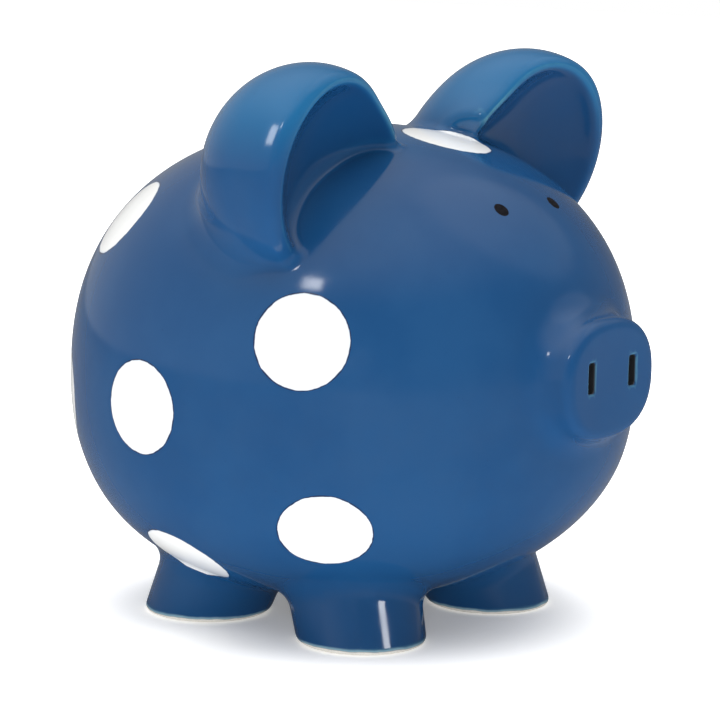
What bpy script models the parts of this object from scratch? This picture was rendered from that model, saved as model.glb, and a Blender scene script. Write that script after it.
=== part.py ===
"""Glazed ceramic piggy bank: a round hollow body on four stub legs, with cupped ears, an oval
snout, a curled tail, round spots, a coin slot along the spine and a rubber stopper in the belly.

Units are metres and +Z is up. The pig faces -Y and its right side is -X. The origin is on the
ground, under the middle of the outline.
"""

import math

import bmesh
import bpy
from mathutils import Matrix, Vector

MM = 0.001

# Body: a solid of revolution about Z whose section is a superellipse.
BODY_RADIUS = 99.2 * MM
BODY_CENTRE_Z = 84.1 * MM
BODY_TOP = 87.6 * MM
BODY_BOTTOM = 76.0 * MM
BODY_EXPONENT = 2.32
WALL = 4.5 * MM
BODY_STEPS = 48
OUTER_RINGS = 18
INNER_RINGS = 14
GAP = 0.35 * MM

# Belly hole, with a flat seat around it for the stopper's flange.
HOLE_RADIUS = 18.5 * MM
SEAT_RADIUS = 25.0 * MM

# Coin slot, cut straight down through the back of the crown, along the spine.
SLOT_CENTRE_Y = 46.0 * MM
SLOT_LENGTH = 38.0 * MM
SLOT_WIDTH = 5.0 * MM

# Legs: turned stubs, rounded at the foot, that flare where they meet the belly. They splay: each
# leans in towards the body's axis by LEG_LEAN times its height.
LEG_X = 37.75 * MM
LEG_Y = 34.4 * MM
LEG_LEAN = 0.34
LEG_TOP = 34.0 * MM
LEG_PROFILE = ((18.9, 0.0), (20.3, 0.6), (21.4, 2.0), (22.1, 4.2), (22.4, 8.0), (22.7, 12.0), (23.2, 16.0))
LEG_STEPS = 28

# Snout: an oval button, square across the face, with two upright nostril slots.
SNOUT_CENTRE_Z = 94.5 * MM
SNOUT_HALF_WIDTH = 26.5 * MM
SNOUT_HALF_HEIGHT = 20.5 * MM
SNOUT_FACE_Y = -108.4 * MM
SNOUT_EDGE = 4.0 * MM
SNOUT_ROOT = 16.0 * MM
SNOUT_FLARE = 1.06
SNOUT_STEPS = 36
NOSTRIL_X = 12.4 * MM
NOSTRIL_Z = 95.8 * MM
NOSTRIL_WIDTH = 3.6 * MM
NOSTRIL_HEIGHT = 10.0 * MM
NOSTRIL_DEPTH = 8.0 * MM

# Ears (the left one, mirrored for the right): a near-round dome with a bowl scooped from its front.
EAR_CENTRE = Vector((59.9, -24.4, 160.8)) * MM
EAR_SEMI_AXES = Vector((35.4, 33.8, 38.9)) * MM
EAR_TURN = tuple(math.radians(a) for a in (40.1, 36.1, 15.5))
EAR_WALL = 4.5 * MM
BOWL_CENTRE = Vector((60.0, -42.0, 160.5)) * MM
BOWL_RADIUS = 31.0 * MM
BOWL_DEPTH = 18.0 * MM
BOWL_NOD = math.radians(10.0)
RIM_SETBACK = 4.5 * MM
SLAB_SIZE = Vector((120.0, 40.0, 120.0)) * MM
CHORD_FALL = math.radians(33.8)

# Tail: one open curl that rises from the rump and lies close to it.
TAIL_CENTRE_Z = 99.0 * MM
TAIL_LOOP = 9.0 * MM
TAIL_SHRINK = 0.12
TAIL_START = math.radians(-100.0)
TAIL_END = math.radians(200.0)
TAIL_RISE_END = 0.3
TAIL_ROOT_RADIUS = 4.1 * MM
TAIL_TIP_RADIUS = 2.2 * MM
TAIL_LOW_Y = 94.0 * MM
TAIL_HIGH_Y = 104.5 * MM
TAIL_RINGS = 26
TAIL_SIDES = 12

# Eyes and spots: thin glazed discs that follow the body. Each spot is (bearing, elevation) seen
# from the body's centre, in degrees, with bearing 0 straight ahead and positive to the left.
EYE_X = 15.4 * MM
EYE_Z = 148.8 * MM
EYE_RADIUS = 2.75 * MM
DISC_THICKNESS = 0.45 * MM
SPOT_RADIUS = 16.1 * MM
PAIRED_SPOTS = ((-62.7, 14.8), (-98.0, -0.8), (-58.1, -23.7), (-128.5, 34.9), (-102.3, -38.0), (-137.2, -4.2))
MIDDLE_SPOTS = ((15.3, 68.4), (180.0, -30.0), (176.0, 30.0))
LEFT_SHIFTS = ((3.0, -3.0), (0.0, 0.0), (-2.0, 2.0), (4.0, -2.0), (-4.0, 1.0), (-3.0, -2.0))
SPOT_SIDES = 20

# Stopper: one rubber moulding, with a flange under the belly, a plug and a finger recess.
FLANGE_RADIUS = 23.0 * MM
FLANGE_THICKNESS = 3.0 * MM
PLUG_RADIUS = 18.2 * MM
PLUG_TOP_RADIUS = 17.2 * MM
PLUG_HEIGHT = 12.0 * MM
RECESS_RADIUS = 13.0 * MM
RECESS_DEPTH = 5.0 * MM
PULL_BAR_WIDTH = 5.0 * MM
STOPPER_EDGE = 0.8 * MM
STOPPER_PLAY = 0.3 * MM
STOPPER_STEPS = 40

BLUE_GLAZE = (0.022, 0.089, 0.227)
WHITE_GLAZE = (0.86, 0.87, 0.87)
BLACK_GLAZE = (0.006, 0.006, 0.008)
RUBBER = (0.055, 0.055, 0.058)


def clear_scene():
    for obj in list(bpy.data.objects):
        bpy.data.objects.remove(obj, do_unlink=True)


def make_material(name, colour, roughness):
    material = bpy.data.materials.new(name)
    material.use_nodes = True
    shader = material.node_tree.nodes["Principled BSDF"]
    shader.inputs["Base Color"].default_value = (*colour, 1.0)
    shader.inputs["Roughness"].default_value = roughness
    shader.inputs["Metallic"].default_value = 0.0
    return material


def add_object(name, bm, material=None):
    """Turns bm into a named object, facing out and shaded smooth."""
    bmesh.ops.remove_doubles(bm, verts=bm.verts, dist=1e-6)
    bmesh.ops.recalc_face_normals(bm, faces=bm.faces)
    mesh = bpy.data.meshes.new(name)
    bm.to_mesh(mesh)
    bm.free()
    mesh.shade_smooth()
    mesh.set_sharp_from_angle(angle=math.radians(40.0))
    obj = bpy.data.objects.new(name, mesh)
    bpy.context.scene.collection.objects.link(obj)
    if material is None:
        obj.hide_render = True
        obj.display_type = "WIRE"
    else:
        mesh.materials.append(material)
    return obj


def add_boolean(obj, other, operation="DIFFERENCE"):
    modifier = obj.modifiers.new(f"{operation.lower()}_{other.name}", "BOOLEAN")
    modifier.operation = operation
    modifier.solver = "EXACT"
    modifier.object = other


def spun(points, steps):
    """A bmesh of the (radius, height) points spun about Z."""
    bm = bmesh.new()
    verts = [bm.verts.new((radius, 0.0, height)) for radius, height in points]
    edges = [bm.edges.new(pair) for pair in zip(verts, verts[1:])]
    bmesh.ops.spin(
        bm, geom=verts + edges, cent=(0, 0, 0), axis=(0, 0, 1), angle=math.tau, steps=steps, use_duplicate=False
    )
    return bm


def box(size, matrix):
    bm = bmesh.new()
    bmesh.ops.create_cube(bm, size=1.0, matrix=matrix @ Matrix.Diagonal((*size, 1.0)))
    return bm


def body_section(offset, rings, lowest=-90.0):
    """(radius, z) down the body's section, from the crown to the angle lowest, moved out by offset."""
    power = 2.0 / BODY_EXPONENT
    points = []
    for i in range(rings + 1):
        angle = math.radians(90.0 + (lowest - 90.0) * i / rings)
        radius = (BODY_RADIUS + offset) * max(math.cos(angle), 0.0) ** power
        reach = (BODY_TOP if angle > 0.0 else BODY_BOTTOM) + offset
        rise = math.copysign(reach * abs(math.sin(angle)) ** power, angle)
        points.append((radius, BODY_CENTRE_Z + rise))
    points[0] = (0.0, points[0][1])
    return points


def angle_at_radius(radius, offset):
    """The section angle, below the equator, where the body is this wide."""
    return -math.degrees(math.acos((radius / (BODY_RADIUS + offset)) ** (BODY_EXPONENT / 2.0)))


def body_point(direction, offset=0.0):
    """Where a ray from the body's centre leaves the body, and offset beyond it."""
    reach = BODY_TOP if direction.z > 0.0 else BODY_BOTTOM
    flat = (math.hypot(direction.x, direction.y) / BODY_RADIUS) ** BODY_EXPONENT
    size = (flat + (abs(direction.z) / reach) ** BODY_EXPONENT) ** (1.0 / BODY_EXPONENT)
    return Vector((0.0, 0.0, BODY_CENTRE_Z)) + direction / size + direction.normalized() * offset


def body_normal(point):
    """The body's outward normal at a point on its surface."""
    across = Vector((point.x, point.y, 0.0))
    rise = point.z - BODY_CENTRE_Z
    reach = BODY_TOP if rise > 0.0 else BODY_BOTTOM
    side = (across.length / BODY_RADIUS) ** (BODY_EXPONENT - 1.0) / BODY_RADIUS
    up = (abs(rise) / reach) ** (BODY_EXPONENT - 1.0) / reach
    flat = across.normalized() * side
    return Vector((flat.x, flat.y, math.copysign(up, rise))).normalized()


def make_body_cutter():
    """The body's outside with the joint gap added, which trims every piece luted onto it."""
    seat_angle = angle_at_radius(SEAT_RADIUS, GAP)
    section = body_section(GAP, OUTER_RINGS, seat_angle)
    section.append((0.0, section[-1][1]))
    return add_object("body_cutter", spun(section, BODY_STEPS))


def make_torso(material):
    outer = body_section(0.0, OUTER_RINGS, angle_at_radius(SEAT_RADIUS, 0.0))
    inner = body_section(-WALL, INNER_RINGS, angle_at_radius(HOLE_RADIUS, -WALL))
    seat = (HOLE_RADIUS, outer[-1][1])
    torso = add_object("torso_shell", spun(outer + [seat] + inner[::-1], BODY_STEPS), material)
    height = BODY_TOP
    place = Matrix.Translation((0.0, SLOT_CENTRE_Y, BODY_CENTRE_Z + BODY_TOP))
    straight = SLOT_LENGTH - SLOT_WIDTH
    bm = bmesh.new()
    bmesh.ops.create_cone(
        bm, cap_ends=True, segments=16, radius1=SLOT_WIDTH / 2, radius2=SLOT_WIDTH / 2, depth=height, matrix=place
    )
    for vert in bm.verts:
        side = vert.co.y - SLOT_CENTRE_Y
        vert.co.y += math.copysign(straight / 2, side) if abs(side) > 1e-7 else 0.0
    add_boolean(torso, add_object("slot_cutter", bm))
    return torso


def make_leg(name, x, y, material, body_cutter):
    """A turned stub, leant in towards the body's axis and trimmed to the belly."""
    profile = [(0.0, 0.0)] + [(r * MM, z * MM) for r, z in LEG_PROFILE]
    profile += [(profile[-1][0], LEG_TOP), (0.0, LEG_TOP)]
    bm = spun(profile, LEG_STEPS)
    inward = -Vector((x, y)).normalized() * LEG_LEAN
    for vert in bm.verts:
        vert.co.xy += inward * vert.co.z
    bmesh.ops.translate(bm, verts=bm.verts, vec=(x, y, 0.0))
    add_boolean(add_object(name, bm, material), body_cutter)


def make_snout(material, body_cutter):
    """An oval lathe shape about Y, trimmed to the face and cut by both nostrils."""
    edge = [
        (1.0 - (1.0 - math.cos(math.radians(a))) * SNOUT_EDGE / SNOUT_HALF_HEIGHT, math.sin(math.radians(a)))
        for a in (90, 60, 30, 0)
    ]
    profile = [(0.0, SNOUT_EDGE)] + [(r, s * SNOUT_EDGE) for r, s in edge]
    profile += [(SNOUT_FLARE, -SNOUT_ROOT), (0.0, -SNOUT_ROOT)]
    bm = spun(profile, SNOUT_STEPS)
    shape = Matrix.Diagonal((SNOUT_HALF_WIDTH, SNOUT_HALF_HEIGHT, 1.0, 1.0))
    turn = Matrix.Rotation(math.radians(90.0), 4, "X")
    place = Matrix.Translation((0.0, SNOUT_FACE_Y + SNOUT_EDGE, SNOUT_CENTRE_Z))
    bmesh.ops.transform(bm, matrix=place @ turn @ shape, verts=bm.verts)
    snout = add_object("snout", bm, material)
    add_boolean(snout, body_cutter)
    for side, label in ((1, "left"), (-1, "right")):
        place = Matrix.Translation((side * NOSTRIL_X, SNOUT_FACE_Y, NOSTRIL_Z))
        slot = box((NOSTRIL_WIDTH, 2 * NOSTRIL_DEPTH, NOSTRIL_HEIGHT), place)
        add_boolean(snout, add_object(f"nostril_cutter_{label}", slot))


def ellipsoid(centre, semi_axes, rotation, side, rings):
    """A UV sphere stretched to an ellipsoid, mirrored across X for the right side."""
    bm = bmesh.new()
    matrix = Matrix.Translation(centre) @ rotation @ Matrix.Diagonal((*semi_axes, 1.0))
    bmesh.ops.create_uvsphere(bm, u_segments=2 * rings, v_segments=rings, radius=1.0, matrix=matrix)
    if side < 0:
        bmesh.ops.scale(bm, verts=bm.verts, vec=(-1.0, 1.0, 1.0))
        bmesh.ops.reverse_faces(bm, faces=bm.faces)
    return bm


def make_ear(label, side, material, body_cutter):
    """A dome, less the bowl in its front, the slab before its rim, its hollow and the body."""
    about_x, about_y, about_z = EAR_TURN
    turn = (
        Matrix.Rotation(about_z, 4, "Z") @ Matrix.Rotation(about_y, 4, "Y") @ Matrix.Rotation(about_x, 4, "X")
    )
    nod = Matrix.Rotation(CHORD_FALL, 4, "Y") @ Matrix.Rotation(BOWL_NOD, 4, "X")
    bowl_axes = Vector((BOWL_RADIUS, BOWL_DEPTH, BOWL_RADIUS))
    wall = Vector((EAR_WALL, EAR_WALL, EAR_WALL))
    ear = add_object(f"ear_{label}", ellipsoid(EAR_CENTRE, EAR_SEMI_AXES, turn, side, 14), material)
    bowl = add_object(f"bowl_cutter_{label}", ellipsoid(BOWL_CENTRE, bowl_axes, nod, side, 12))
    slab_offset = Matrix.Translation((0.0, RIM_SETBACK - SLAB_SIZE.y / 2, 0.0))
    slab_bm = box(SLAB_SIZE, Matrix.Translation(BOWL_CENTRE) @ nod @ slab_offset)
    if side < 0:
        bmesh.ops.scale(slab_bm, verts=slab_bm.verts, vec=(-1.0, 1.0, 1.0))
        bmesh.ops.reverse_faces(slab_bm, faces=slab_bm.faces)
    slab = add_object(f"slab_cutter_{label}", slab_bm)
    hollow = add_object(f"hollow_cutter_{label}", ellipsoid(EAR_CENTRE, EAR_SEMI_AXES - wall, turn, side, 12))
    wide_bowl = add_object(f"wide_bowl_cutter_{label}", ellipsoid(BOWL_CENTRE, bowl_axes + wall, nod, side, 12))
    add_boolean(hollow, wide_bowl)
    for cutter in (body_cutter, bowl, slab, hollow):
        add_boolean(ear, cutter)


def make_tail(material, body_cutter):
    """A tapering tube along one open turn in the rump's plane."""
    bm = bmesh.new()
    rings = []
    for i in range(TAIL_RINGS):
        along = i / (TAIL_RINGS - 1)
        angle = TAIL_START + (TAIL_END - TAIL_START) * along
        loop = TAIL_LOOP * (1.0 - TAIL_SHRINK * along)
        rise = min(1.0, along / TAIL_RISE_END)
        rise = rise * rise * (3.0 - 2.0 * rise)
        centre = Vector((loop * math.cos(angle), TAIL_LOW_Y + (TAIL_HIGH_Y - TAIL_LOW_Y) * rise,
                         TAIL_CENTRE_Z + loop * math.sin(angle)))
        radius = TAIL_ROOT_RADIUS + (TAIL_TIP_RADIUS - TAIL_ROOT_RADIUS) * along ** 1.5
        outward = Vector((math.cos(angle), 0.0, math.sin(angle)))
        back = Vector((0.0, 1.0, 0.0))
        ring = []
        for k in range(TAIL_SIDES):
            turn = math.tau * k / TAIL_SIDES
            ring.append(bm.verts.new(centre + radius * (math.cos(turn) * outward + math.sin(turn) * back)))
        rings.append(ring)
    for low, high in zip(rings, rings[1:]):
        for k in range(TAIL_SIDES):
            after = (k + 1) % TAIL_SIDES
            bm.faces.new((low[k], low[after], high[after], high[k]))
    bm.faces.new(rings[0][::-1])
    ahead = Vector((-math.sin(TAIL_END), 0.0, math.cos(TAIL_END)))
    middle = sum((vert.co for vert in rings[-1]), Vector()) / TAIL_SIDES
    tip = bm.verts.new(middle + ahead * TAIL_TIP_RADIUS)
    for k in range(TAIL_SIDES):
        bm.faces.new((rings[-1][k], rings[-1][(k + 1) % TAIL_SIDES], tip))
    add_boolean(add_object("tail", bm, material), body_cutter)


def make_disc(name, centre, radius, sides, ring_count, material):
    """A thin round patch that follows the body, centred on a surface point."""
    normal = body_normal(centre)
    across = normal.orthogonal().normalized()
    along = normal.cross(across)
    middle = Vector((0.0, 0.0, BODY_CENTRE_Z))
    bm = bmesh.new()
    layers = []
    for offset in (GAP, GAP + DISC_THICKNESS):
        hub = bm.verts.new(body_point(centre - middle, offset))
        rings = []
        for j in range(1, ring_count + 1):
            reach = radius * j / ring_count
            ring = []
            for k in range(sides):
                turn = math.tau * k / sides
                heading = math.cos(turn) * across + math.sin(turn) * along
                step = reach
                for _ in range(4):
                    point = body_point(centre + heading * step - middle)
                    step *= reach / (point - centre).length
                ring.append(bm.verts.new(body_point(point - middle, offset)))
            rings.append(ring)
        layers.append((hub, rings))
    for hub, rings in layers:
        for k in range(sides):
            bm.faces.new((hub, rings[0][k], rings[0][(k + 1) % sides]))
        for low, high in zip(rings, rings[1:]):
            for k in range(sides):
                after = (k + 1) % sides
                bm.faces.new((low[k], high[k], high[after], low[after]))
    under, over = layers[0][1][-1], layers[1][1][-1]
    for k in range(sides):
        after = (k + 1) % sides
        bm.faces.new((under[k], under[after], over[after], over[k]))
    add_object(name, bm, material)


def direction(bearing, elevation):
    """A unit vector from a bearing and an elevation in degrees, with bearing 0 along -Y."""
    turn, rise = math.radians(bearing), math.radians(elevation)
    return Vector((math.sin(turn) * math.cos(rise), -math.cos(turn) * math.cos(rise), math.sin(rise)))


def make_spots(material):
    bearings = [("right", spot) for spot in PAIRED_SPOTS]
    bearings += [("left", (-b + db, e + de)) for (b, e), (db, de) in zip(PAIRED_SPOTS, LEFT_SHIFTS)]
    bearings += [("middle", spot) for spot in MIDDLE_SPOTS]
    counts = {}
    for group, (bearing, elevation) in bearings:
        counts[group] = counts.get(group, 0) + 1
        centre = body_point(direction(bearing, elevation))
        make_disc(f"spot_{group}_{counts[group]}", centre, SPOT_RADIUS, SPOT_SIDES, 2, material)


def make_eyes(material):
    middle = Vector((0.0, 0.0, BODY_CENTRE_Z))
    high = (EYE_Z - BODY_CENTRE_Z) / BODY_TOP
    width = BODY_RADIUS * (1.0 - high**BODY_EXPONENT) ** (1.0 / BODY_EXPONENT)
    for side, label in ((1, "left"), (-1, "right")):
        eye = Vector((side * EYE_X, -math.sqrt(width**2 - EYE_X**2), EYE_Z))
        make_disc(f"eye_{label}", body_point(eye - middle), EYE_RADIUS, 16, 1, material)


def make_stopper(material):
    """A flanged plug with a round recess below and a pull bar across it."""
    seat_z = body_section(0.0, 1, angle_at_radius(SEAT_RADIUS, 0.0))[-1][1]
    top = seat_z - STOPPER_PLAY
    bottom = top - FLANGE_THICKNESS
    edge = STOPPER_EDGE
    crown = top + PLUG_HEIGHT
    profile = (
        (0.0, bottom + RECESS_DEPTH),
        (RECESS_RADIUS, bottom + RECESS_DEPTH),
        (RECESS_RADIUS + edge, bottom),
        (FLANGE_RADIUS - edge, bottom),
        (FLANGE_RADIUS, bottom + edge),
        (FLANGE_RADIUS, top - edge),
        (FLANGE_RADIUS - edge / 2, top),
        (PLUG_RADIUS, top),
        (PLUG_RADIUS, top + PLUG_HEIGHT / 2),
        (PLUG_TOP_RADIUS, crown - 1.5 * edge),
        (PLUG_TOP_RADIUS - edge, crown),
        (0.0, crown),
    )
    stopper = add_object("stopper", spun(profile, STOPPER_STEPS), material)
    place = Matrix.Translation((0.0, 0.0, bottom + edge + RECESS_DEPTH / 2))
    bar = add_object("pull_bar", box((2 * RECESS_RADIUS + edge, PULL_BAR_WIDTH, RECESS_DEPTH), place))
    add_boolean(stopper, bar, "UNION")


def main():
    clear_scene()
    blue = make_material("blue_glaze", BLUE_GLAZE, 0.08)
    white = make_material("white_glaze", WHITE_GLAZE, 0.1)
    black = make_material("black_glaze", BLACK_GLAZE, 0.1)
    rubber = make_material("stopper_rubber", RUBBER, 0.6)
    body_cutter = make_body_cutter()
    make_torso(blue)
    make_snout(blue, body_cutter)
    for side, label in ((1, "left"), (-1, "right")):
        make_ear(label, side, blue, body_cutter)
        make_leg(f"leg_front_{label}", side * LEG_X, -LEG_Y, blue, body_cutter)
        make_leg(f"leg_rear_{label}", side * LEG_X, LEG_Y, blue, body_cutter)
    make_tail(blue, body_cutter)
    make_spots(white)
    make_eyes(black)
    make_stopper(rubber)


main()
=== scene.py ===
"""The looks of the glazed piggy bank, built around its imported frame.

The glazed outside is one smooth distance field: body, legs, snout, ears and tail melt into each other
with soft fillets. It is meshed once, finely, and cut along the luting lines into one piece for each
CAD node. Places and sizes are in metres and follow the part's own, but here the belly hangs back a
little, the legs lean in less sideways, and the ears' roots reach across the crown. +Z is up and the
pig faces -Y.
"""
import math

import bmesh
import bpy
import numpy as np
from mathutils import Matrix, Vector


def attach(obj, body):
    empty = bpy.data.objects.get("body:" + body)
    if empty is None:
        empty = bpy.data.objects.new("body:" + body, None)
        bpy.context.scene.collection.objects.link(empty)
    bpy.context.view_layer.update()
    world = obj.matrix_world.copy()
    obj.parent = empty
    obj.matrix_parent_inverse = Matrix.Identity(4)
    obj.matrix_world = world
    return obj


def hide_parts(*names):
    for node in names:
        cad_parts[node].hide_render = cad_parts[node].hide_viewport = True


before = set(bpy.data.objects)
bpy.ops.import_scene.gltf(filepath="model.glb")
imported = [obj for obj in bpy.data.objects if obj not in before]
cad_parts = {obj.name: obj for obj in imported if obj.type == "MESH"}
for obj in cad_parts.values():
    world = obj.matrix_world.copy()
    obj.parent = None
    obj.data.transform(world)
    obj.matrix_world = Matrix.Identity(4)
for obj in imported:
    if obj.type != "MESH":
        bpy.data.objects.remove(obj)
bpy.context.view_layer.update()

MM = 0.001

# Body.
BODY_RADIUS = 99.2 * MM
BODY_CENTRE_Z = 84.1 * MM
BODY_TOP = 87.6 * MM
BODY_BOTTOM = 76.0 * MM
BODY_POWER = 2.32
BELLY_SHIFT = 2.4 * MM
BELLY_HEIGHTS = (15.0 * MM, 60.0 * MM)
WALL = 4.5 * MM
SEAT_Z = 9.4 * MM
SEAT_EDGE = 0.8 * MM
HOLE_RADIUS = 18.5 * MM
HOLE_TOP = 40.0 * MM
HOLE_EDGE = 1.2 * MM
SLOT_CENTRE_Y = 46.0 * MM
SLOT_LENGTH = 38.0 * MM
SLOT_WIDTH = 5.0 * MM
SLOT_FLOOR = 124.0 * MM
SLOT_EDGE = 2.0 * MM

# Legs: each leans in under the belly as it rises, by LEG_LEAN of its height along X and Y. The
# fillets are the ones near the belly's middle and on the outside.
LEG_PLACE = np.array((37.75, 34.4)) * MM
LEG_RADIUS = 22.2 * MM
LEG_FLARE = 0.05
LEG_LEAN = np.array((0.15, 0.34))
LEG_FOOT_EDGE = 2.8 * MM
LEG_TOP = 30.0 * MM
LEG_ROOT = 1.6 * LEG_TOP
LEG_FILLETS = (4.0 * MM, 6.5 * MM)
LEG_FILLETS_FROM = (30.0 * MM, 55.0 * MM)
LEG_SEAM = 27.0 * MM

# Snout. SNOUT_FRONT is where the rounding into its face begins.
SNOUT_Z = 94.1 * MM
SNOUT_HALF = np.array((26.5, 20.5)) * MM
SNOUT_FACE = -108.4 * MM
SNOUT_ROOT = 0.55 * SNOUT_FACE
SNOUT_FRONT = (0.96 * SNOUT_FACE, 0.92 * SNOUT_FACE)
SNOUT_POWER = 2.35
SNOUT_EDGE = 4.5 * MM
SNOUT_FILLET = 9.0 * MM
SNOUT_DISH = 0.7 * MM
SNOUT_DISH_REACH = (0.2, 0.95)
NOSTRIL_PLACE = (12.4 * MM, 95.8 * MM)
NOSTRIL_HALF = (1.8 * MM, 5.0 * MM)
NOSTRIL_DEPTH = 8.0 * MM
NOSTRIL_CORNER = 1.2 * MM
NOSTRIL_MOUTH = 1.0 * MM

# Left ear: a dome, cut off in front at its rim and hollowed by a bowl. Its front root is shifted by
# ROOT_SHIFT, and its rim flares out sideways. The ranges called DEPTHS are measured behind the rim.
EAR_CENTRE = np.array((59.9, -24.4, 160.8)) * MM
EAR_AXES = np.array((35.4, 33.8, 38.9)) * MM
EAR_TURN = (40.1, 36.1, 15.5)
BOWL_CENTRE = np.array((60.0, -43.2, 160.5)) * MM
BOWL_AXES = np.array((31.0, 18.0, 31.0)) * MM
BOWL_TURN = (10.0, 33.8, 0.0)
BOWL_EDGE = 2.4 * MM
RIM_SETBACK = 5.7 * MM
RIM_EDGE = 4.0 * MM
RIM_FLARE = 1.8 * MM
FLARE_ACROSS = (66.0 * MM, 88.0 * MM)
FLARE_DEPTHS = (2.0 * MM, 18.0 * MM)
ROOT_SHIFT = np.array((6.5, -1.0, -3.0)) * MM
ROOT_ACROSS = (28.0 * MM, 58.0 * MM)
ROOT_HEIGHTS = (165.0 * MM, 186.0 * MM)
ROOT_DEPTHS = (5.0 * MM, 20.0 * MM)
ROOT_SHIFT_LOST = 0.6
EAR_FILLETS = (3.4 * MM, 10.0 * MM)
EAR_FILLETS_ACROSS = (30.0 * MM, 50.0 * MM)
EAR_FILLETS_DEPTHS = (4.0 * MM, 20.0 * MM)
EAR_PAST_SPOT = 0.6 * MM
# The ears' tops between these heights get a painted reflection of the bright room above.
PAINTED_REFLECTION_HEIGHTS = (160.0 * MM, 188.0 * MM)

# Tail.
TAIL_Z = 99.0 * MM
TAIL_LOOP = 9.0 * MM
TAIL_TIGHTENS = 0.12
TAIL_ANGLES = (-100.0, 200.0)
TAIL_RADII = (4.1 * MM, 2.2 * MM)
TAIL_DEPTHS = (94.0 * MM, 104.5 * MM)
TAIL_BEGINS = (90.0 * MM, 96.0 * MM)
TAIL_FILLET = 3.0 * MM
TAIL_SEAM = 16.0 * MM

# Spots and eyes, as bearings and rises in degrees from the body's centre.
SPOT_RADIUS = 16.1 * MM
SPOT_DEPTH = 0.8 * MM
SIDE_SPOTS = [(-62.7, 14.8), (-98.0, -0.8), (-58.1, -23.7), (-128.5, 34.9), (-102.3, -38.0), (-137.2, -4.2)]
LEFT_SHIFTS = [(3.0, -3.0), (0.0, 0.0), (-2.0, 2.0), (4.0, -2.0), (-4.0, 1.0), (-3.0, -2.0)]
MIDDLE_SPOTS = [(15.3, 68.4), (180.0, -30.0), (176.0, 30.0)]
EYE_RADIUS = 2.75 * MM
EYE_PLACE = (15.4 * MM, 148.8 * MM)

# Meshing. SKIN is how deep the luting lines cut into the body.
VOXEL = 1.3 * MM
REFINEMENTS = 3
SHARPEST_TURN = math.radians(6.0)
LEAST_STEEPNESS = 0.05
SKIN = 2.2 * MM
SEAM_MARGIN = 3.0 * MM

# A face is glazed, or bare lining, if its middle is this near that surface and it faces the same way.
GLAZE_REACH = 0.12 * MM
LINING_REACH = 0.4 * MM
LEAST_COSINE = 0.7

# Where the glaze runs thin on edges and pools in creases, by the surface's bend in 1/mm.
EDGE_BENDS = (0.3, 0.9)
POOL_BENDS = (0.05, 0.5)
THIN_LOST_ON_SNOUT = 0.6


# ---------------------------------------------------------------- helpers for fields

def smooth_min(a, b, k):
    h = np.clip(k - np.abs(a - b), 0.0, None) / k
    return np.minimum(a, b) - h * h * k * 0.25


def smooth_max(a, b, k):
    return -smooth_min(-a, -b, k)


def smoothstep(x, low, high):
    """0 below low, 1 above high."""
    t = np.clip((x - low) / (high - low), 0.0, 1.0)
    return t * t * (3.0 - 2.0 * t)


def fade(x, low, high):
    """1 below low, 0 above high."""
    return 1.0 - smoothstep(x, low, high)


def between(ends, part):
    return ends[0] + (ends[1] - ends[0]) * part


def turn_of(degrees):
    """A rotation about X, then Y, then Z."""
    x, y, z = (math.radians(a) for a in degrees)
    turn = Matrix.Rotation(z, 3, "Z") @ Matrix.Rotation(y, 3, "Y") @ Matrix.Rotation(x, 3, "X")
    return np.array(turn)


EAR_MATRIX = turn_of(EAR_TURN)
BOWL_MATRIX = turn_of(BOWL_TURN)


def ellipsoid_field(p, centre, axes, turn):
    q = ((p - centre) @ turn) / axes
    k1 = np.linalg.norm(q, axis=1) + 1e-9
    k2 = np.linalg.norm(q / axes, axis=1) + 1e-9
    return k1 * (k1 - 1.0) / k2


# ---------------------------------------------------------------- places on the body

def direction(bearing, rise):
    """A unit vector: bearing 0 faces -Y and grows towards +X."""
    b, e = math.radians(bearing), math.radians(rise)
    return np.array((math.sin(b) * math.cos(e), -math.cos(b) * math.cos(e), math.sin(e)))


def on_body(bearing, rise):
    """Where a ray from the body's centre leaves it."""
    ray = direction(bearing, rise)
    reach = BODY_TOP if ray[2] > 0.0 else BODY_BOTTOM
    across = math.hypot(ray[0], ray[1]) / BODY_RADIUS
    size = (across**BODY_POWER + (abs(ray[2]) / reach) ** BODY_POWER) ** (1.0 / BODY_POWER)
    return np.array((0.0, 0.0, BODY_CENTRE_Z)) + ray / size


def eye_point(side):
    """The eye's centre, on the front of the head."""
    x, z = EYE_PLACE
    across = BODY_RADIUS * (1.0 - ((z - BODY_CENTRE_Z) / BODY_TOP) ** BODY_POWER) ** (1.0 / BODY_POWER)
    return np.array((side * x, -math.sqrt(across**2 - x**2), z))


def spot_places():
    """Each inlay's name, centre and radius."""
    places = []
    for number, (bearing, rise) in enumerate(SIDE_SPOTS, start=1):
        turn, lift = LEFT_SHIFTS[number - 1]
        places.append((f"spot_right_{number}", on_body(bearing, rise), SPOT_RADIUS))
        places.append((f"spot_left_{number}", on_body(-bearing + turn, rise + lift), SPOT_RADIUS))
    for number, (bearing, rise) in enumerate(MIDDLE_SPOTS, start=1):
        places.append((f"spot_middle_{number}", on_body(bearing, rise), SPOT_RADIUS))
    for name, side in (("eye_left", 1.0), ("eye_right", -1.0)):
        places.append((name, eye_point(side), EYE_RADIUS))
    return places


# ---------------------------------------------------------------- the parts' fields

def belly_shift(z):
    """How far back the body sits at each height: the belly hangs a little towards the rump."""
    return BELLY_SHIFT * fade(z, *BELLY_HEIGHTS)


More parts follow.
